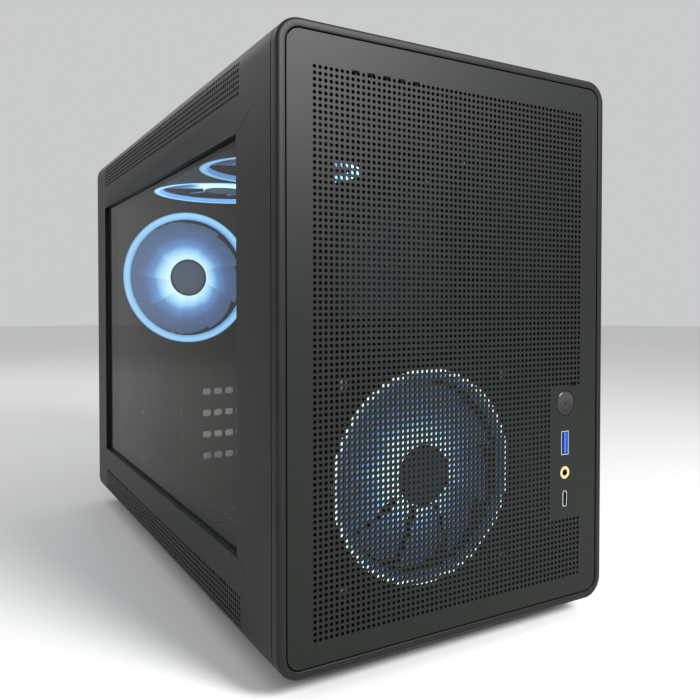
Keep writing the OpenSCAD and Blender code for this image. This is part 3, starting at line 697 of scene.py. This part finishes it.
def paint_ring(key):
    middle, reach, axis = fan_place(key)
    stops = THIN_RING_GLOW if key == "front" else RING_GLOW
    paint(nodes[FANS[key][0]],
          radial_light(f"{key}_ring_light", middle, axis, stops, reach, RING_BASE, LEVEL[key]))


def paint_solids():
    for part in frame["record"]["subparts"]:
        finish = FINISHES.get(part["material_slot"])
        if finish:
            paint(nodes[part["node"]], finish)


# Rotors: a hub cup on a shaft, with broad swept blades of frosted plastic

# Depth of the hub's face behind the light ring's front
HUB_TOP = 2.8 * MM
HUB_R = 17 * MM
HUB_DEPTH = 18 * MM
HUB_WALL = 1.5 * MM
SHAFT_R = 1.5 * MM
SHAFT_END = 23.6 * MM
BLADES = 9
TIP_R = 50.2 * MM
BLADE_TOP = 4.4 * MM
BLADE_RISE = 12.5 * MM
BLADE_T = 1.2 * MM
BLADE_CELLS = 10
# A blade's middle at the hub, how far the tip trails it, its span at the hub, and the tip's loss of it
BLADE_TURN = 10
SWEEP = 14
SPAN = 50
SPAN_LOSS = 5
ROOT_R = HUB_R - 0.5 * MM
CAMBER = 1.8 * MM
CAP_R = 16.4 * MM
CAP_T = 0.6 * MM
CAP_DISH = [(0.6 * MM, -0.05 * MM), (5 * MM, -0.12 * MM), (5 * MM, -0.05 * MM)]


def blade(turn):
    """One blade: a square grid laid round the axis, from its high edge down to its low one."""
    deselect()
    bpy.ops.mesh.primitive_grid_add(x_subdivisions=BLADE_CELLS, y_subdivisions=BLADE_CELLS, size=1)
    made = bpy.context.object
    for vertex in made.data.vertices:
        out, across = vertex.co.x + 0.5, vertex.co.y
        radius = ROOT_R + out * (TIP_R - ROOT_R)
        angle = turn + math.radians(BLADE_TURN - SWEEP * out + across * (SPAN - SPAN_LOSS * out))
        height = CAMBER * math.cos(math.pi * across) - BLADE_TOP - CAMBER - BLADE_RISE * (across + 0.5)
        vertex.co = (radius * math.cos(angle), radius * math.sin(angle), height)
    modifier(made, "SOLIDIFY", thickness=BLADE_T, offset=0)
    return made


def rotor(key):
    middle, reach, axis = fan_place(key)
    hub = disc(HUB_R, 64, -HUB_TOP)
    rise(-HUB_DEPTH)
    step_in((HUB_WALL, 0))
    rise(HUB_DEPTH - HUB_WALL)
    close_back()
    face_out(hub)
    deselect()
    shaft_len = SHAFT_END - HUB_TOP - HUB_WALL / 2
    bpy.ops.mesh.primitive_cylinder_add(vertices=24, radius=SHAFT_R, depth=shaft_len)
    shaft = place(bpy.context.object, (0, 0, shaft_len / 2 - SHAFT_END))
    blades = [blade(math.radians(k * 360 / BLADES)) for k in range(BLADES)]
    place(join(hub, shaft, *blades), fan_seat(key), FACING[key])
    soften(hub)
    finish = radial_light(f"{key}_blade_glow", middle, axis, GLOW, reach, BLADE_BASE, LEVEL[key],
                          BLADE_ALPHA)
    dress(hub, f"{key}_blades", FANS[key][2], "rotor_plastic", finish, FANS[key][1])


# Hub caps, with a rolled edge and a shallow dish

def hub_cap(key):
    middle, _, axis = fan_place(key)
    cap = disc(CAP_R, 64)
    rise(CAP_T * 0.5)
    step_in((0.15 * MM, CAP_T * 0.35), (0.35 * MM, CAP_T * 0.15), *CAP_DISH)
    close_back()
    face_out(cap)
    place(cap, fan_seat(key, HUB_TOP), FACING[key])
    soften(cap, 25)
    finish = radial_light(f"{key}_cap_plastic", middle, axis, CAP_GLOW, CAP_R, CAP_BASE, CAP_LEVEL[key])
    dress(cap, f"{key}_hub_cap", FANS[key][2], "black_plastic", finish)


# Screws with a domed head and a cross recess

HEAD_R = 3.5 * MM
HEAD_H = 1.7 * MM
SHANK_R = 1.7 * MM
HEAD_DOME = [(0.3 * MM, 0.55 * MM), (0.8 * MM, 0.35 * MM), (1.2 * MM, 0.1 * MM)]
CROSS = (3.6 * MM, 0.75 * MM, 2 * MM)
PSU_SCREW_X = (-55 * MM, -19.8 * MM, 19.8 * MM, 55 * MM)
TO_LEFT = (0, -math.pi / 2, 0)
TO_FRONT = (math.pi / 2, 0, 0)
TO_REAR = (-math.pi / 2, 0, 0)
TO_TOP = (0, 0, 0)


def screw(shank):
    """One screw with its seat on the ground plane and its head up."""
    made = disc(SHANK_R, 24, -shank)
    rise(shank)
    widen(HEAD_R / SHANK_R)
    rise(HEAD_H - sum(up for _, up in HEAD_DOME))
    step_in(*HEAD_DOME)
    close_back()
    face_out(made)
    for angle in (0, math.pi / 2):
        deselect()
        bpy.ops.mesh.primitive_cube_add(size=1)
        slit = place(bpy.context.object, (0, 0, HEAD_H), (0, 0, angle), CROSS)
        modifier(made, "BOOLEAN", operation="DIFFERENCE", object=slit, solver="EXACT")
        bpy.data.objects.remove(slit)
    soften(made, 30)
    return made


def screws(node, shank, seats):
    """Screws at these seats, each a place and a turn, in place of the solid screws of a node."""
    first = screw(shank)
    copies = []
    for location, turn in seats:
        copy = first.copy()
        copy.data = first.data.copy()
        bpy.context.collection.objects.link(copy)
        copies.append(place(copy, location, turn))
    bpy.data.objects.remove(first)
    dress(join(*copies), f"{node}_crossed", "chassis", "zinc", FINISHES["zinc"], node)


def all_screws():
    low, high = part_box("slot_screws")
    middle = (low[1] + high[1]) / 2
    step = (high[2] - low[2] - 2 * HEAD_R) / 3
    screws("slot_screws", 5 * MM, [
        ((low[0] + HEAD_H, middle, low[2] + HEAD_R + k * step), TO_LEFT) for k in range(4)])
    low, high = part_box("inlet_screws")
    middle = (low[0] + high[0]) / 2
    screws("inlet_screws", 5 * MM, [
        ((middle, high[1] - HEAD_H, z), TO_REAR) for z in (low[2] + HEAD_R, high[2] - HEAD_R)])
    low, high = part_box("psu_bracket_screws")
    middle = (low[2] + high[2]) / 2
    screws("psu_bracket_screws", 4 * MM, [
        ((x, high[1] - HEAD_H, middle), TO_REAR) for x in PSU_SCREW_X])
    low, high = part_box("foot_screws")
    screws("foot_screws", 7 * MM, [
        ((x, y, high[2] - HEAD_H), TO_TOP) for x in (low[0] + HEAD_R, high[0] - HEAD_R)
        for y in (low[1] + HEAD_R, high[1] - HEAD_R)])
    low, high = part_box("fan_screws")
    seats = []
    for key in FANS:
        (x, y, z), _, _ = fan_place(key)
        for u in (-FAN_SCREW / 2, FAN_SCREW / 2):
            for v in (-FAN_SCREW / 2, FAN_SCREW / 2):
                if key == "front":
                    seats.append(((x + u, low[1] + HEAD_H, z + v), TO_FRONT))
                elif key == "rear":
                    seats.append(((x + u, high[1] - HEAD_H, z + v), TO_REAR))
                else:
                    seats.append(((x + u, y + v, high[2] - HEAD_H), TO_TOP))
    screws("fan_screws", 6 * MM, seats)


# Power button, from the end of its stem to its dished face with a hole in the middle

STEM_R = 2 * MM
FLANGE_T = 1.4 * MM
BARREL_R = 6.6 * MM
BARREL_H = 3.9 * MM
BUTTON_EDGE = [(0.12 * MM, 0.3 * MM), (0.3 * MM, 0.2 * MM)]
BUTTON_DISH = [(0.5 * MM, 0), (1.2 * MM, -0.22 * MM), (2 * MM, -0.12 * MM), (1.78 * MM, -0.03 * MM)]
LAMP_HOLE = 0.5 * MM


def power_button():
    low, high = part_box("power_button")
    flange_r = (high[0] - low[0]) / 2
    face_h = FLANGE_T + BARREL_H + sum(up for _, up in BUTTON_EDGE)
    button = disc(STEM_R, 64)
    rise(high[1] - low[1] - face_h)
    widen(flange_r / STEM_R)
    rise(FLANGE_T)
    widen(BARREL_R / flange_r)
    rise(BARREL_H)
    step_in(*BUTTON_EDGE, *BUTTON_DISH)
    rise(-LAMP_HOLE)
    close_back()
    face_out(button)
    place(button, ((low[0] + high[0]) / 2, high[1], (low[2] + high[2]) / 2), TO_FRONT)
    soften(button, 30)
    dress(button, "dished_button", "button", "powder_steel", FINISHES["button_steel"], "power_button")


camera()
studio()
paint_solids()
for key in FANS:
    paint_ring(key)
    rotor(key)
    hub_cap(key)
front_plate()
front_ring()
side_panel("window_panel", "window_side", -1, "left_panel", True)
side_panel("plain_panel", "plain_side", 1, "right_panel", False)
roof_panel()
power_button()
all_screws()
